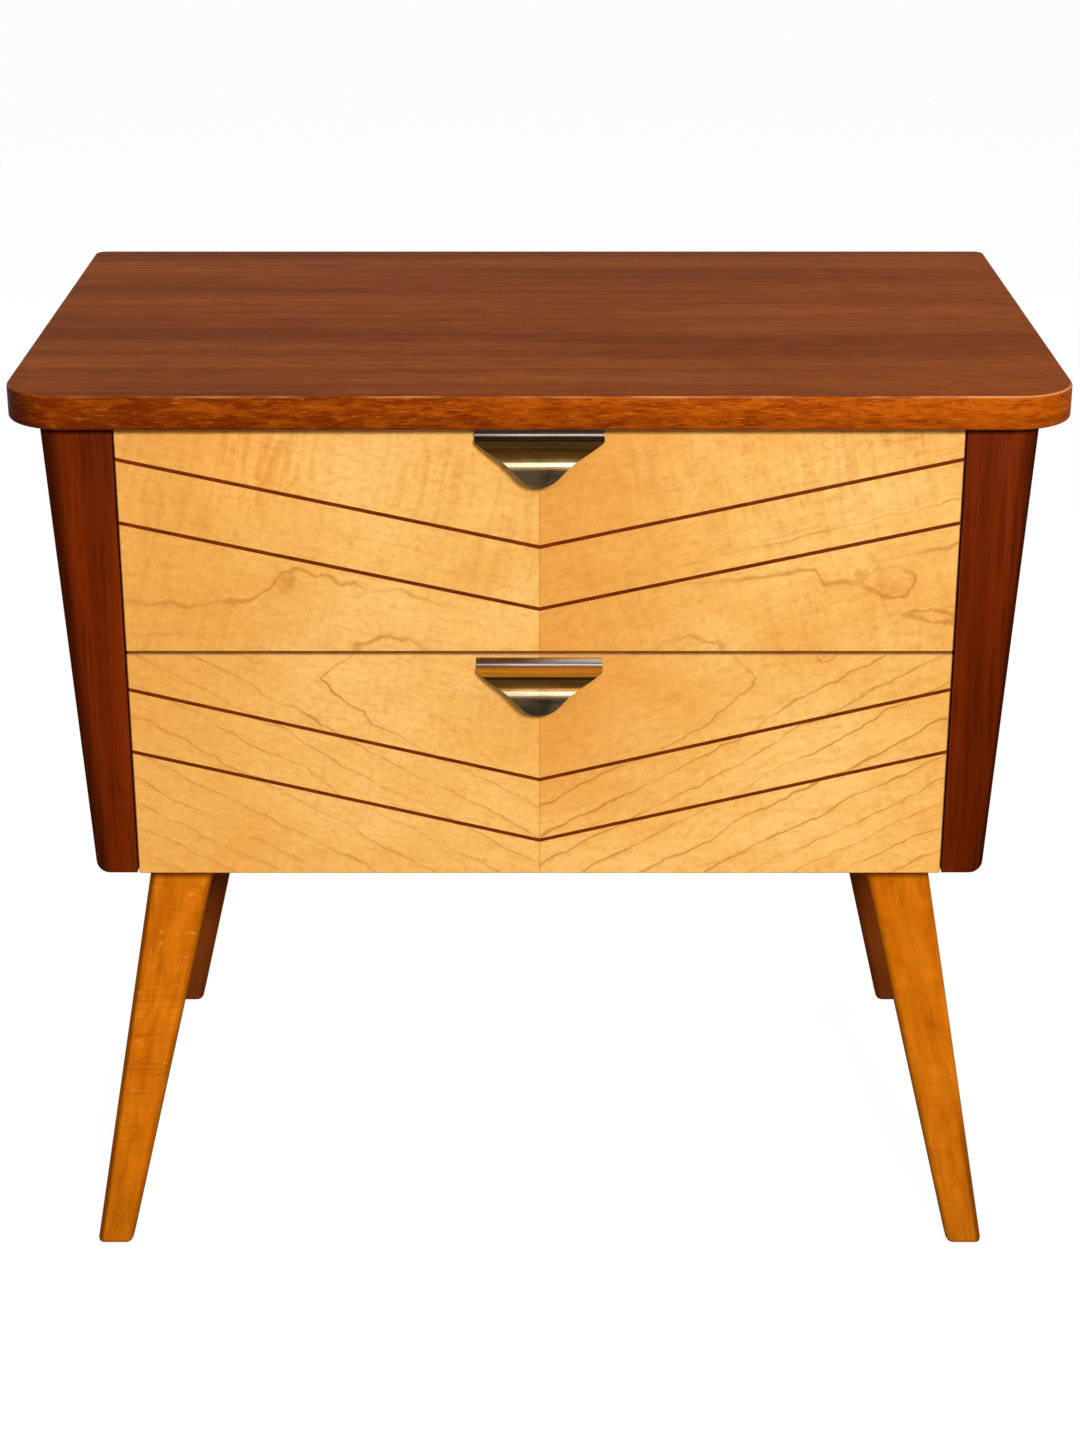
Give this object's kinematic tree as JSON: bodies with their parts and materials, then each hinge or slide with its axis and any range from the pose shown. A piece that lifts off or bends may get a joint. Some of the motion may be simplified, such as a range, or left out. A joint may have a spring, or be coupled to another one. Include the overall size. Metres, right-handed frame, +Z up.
{
  "type": "nightstand",
  "caption": "Nightstand with a rounded top, tapered sides, dovetailed sliding drawers with chevron inlay and brass shell pulls, on splayed tapered legs.",
  "frame": {"origin": "on the floor, under the middle of the top", "axes": "+Z up, front and drawer faces towards -Y, +X to the right of someone facing the drawers"},
  "size_m": [0.608, 0.378, 0.5635],
  "materials": {
    "top_wood": "satin lacquer over mahogany stain",
    "side_wood": "satin lacquer over dark mahogany stain",
    "maple": "satin lacquer over figured maple veneer",
    "string_wood": "satin lacquer",
    "leg_wood": "satin lacquer, amber",
    "beech": "plain, waxed",
    "poplar": "plain, sanded",
    "plywood": "plain, sanded",
    "brass": "antiqued and lacquered",
    "steel": "plain"
  },
  "bodies": {
    "case": {"top_panel": "top_wood", "left_side_panel": "side_wood", "right_side_panel": "side_wood", "bottom_panel": "plywood", "back_panel": "plywood", "top_front_rail": "poplar", "top_rear_rail": "poplar", "divider_rail": "poplar", "upper_runner_left": "beech", "upper_runner_right": "beech", "lower_runner_left": "beech", "lower_runner_right": "beech", "left_leg_bearer": "beech", "right_leg_bearer": "beech", "front_left_leg": "leg_wood", "front_right_leg": "leg_wood", "rear_left_leg": "leg_wood", "rear_right_leg": "leg_wood", "top_screw_front_left": "steel", "top_screw_front_right": "steel", "top_screw_rear_left": "steel", "top_screw_rear_right": "steel"},
    "upper_drawer": {"upper_front": "maple", "upper_upper_string_left": "string_wood", "upper_upper_string_right": "string_wood", "upper_lower_string_left": "string_wood", "upper_lower_string_right": "string_wood", "upper_box_side_left": "poplar", "upper_box_side_right": "poplar", "upper_box_back": "poplar", "upper_box_bottom": "plywood", "upper_pull": "brass", "upper_pull_screw_left": "steel", "upper_pull_screw_right": "steel"},
    "lower_drawer": {"lower_front": "maple", "lower_upper_string_left": "string_wood", "lower_upper_string_right": "string_wood", "lower_lower_string_left": "string_wood", "lower_lower_string_right": "string_wood", "lower_box_side_left": "poplar", "lower_box_side_right": "poplar", "lower_box_back": "poplar", "lower_box_bottom": "plywood", "lower_pull": "brass", "lower_pull_screw_left": "steel", "lower_pull_screw_right": "steel"}
  },
  "joints": [
    {"name": "upper_drawer_slide", "type": "slide", "parent": "case", "child": "upper_drawer", "axis": [0, -1, 0], "range_m": [0, 0.2]},
    {"name": "lower_drawer_slide", "type": "slide", "parent": "case", "child": "lower_drawer", "axis": [0, -1, 0], "range_m": [0, 0.2]}
  ]
}
